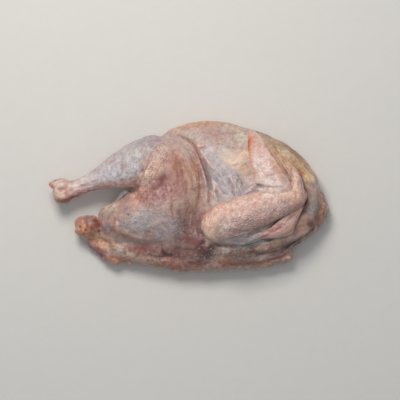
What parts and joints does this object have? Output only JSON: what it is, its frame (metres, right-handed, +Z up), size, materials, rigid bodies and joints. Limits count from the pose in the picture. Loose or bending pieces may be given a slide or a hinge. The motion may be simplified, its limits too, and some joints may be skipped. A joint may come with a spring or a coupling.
{
  "type": "half turkey",
  "caption": "Raw oven-ready turkey half lying on its sawn side, with one whole leg, a folded wing, the tail and a plump breast under pale moist skin.",
  "frame": {"origin": "under the middle of the half bird's box, on the plane of the sawn face", "axes": "+X from the hock towards the neck end, +Y towards the keel of the breast, +Z up out of the skin side, square to the sawn face"},
  "size_m": [0.4008, 0.22, 0.1017],
  "materials": {
    "raw_skin": "moist satin",
    "cut_meat": "moist"
  },
  "bodies": {
    "root": {"half_turkey": "raw_skin"}
  },
  "joints": []
}
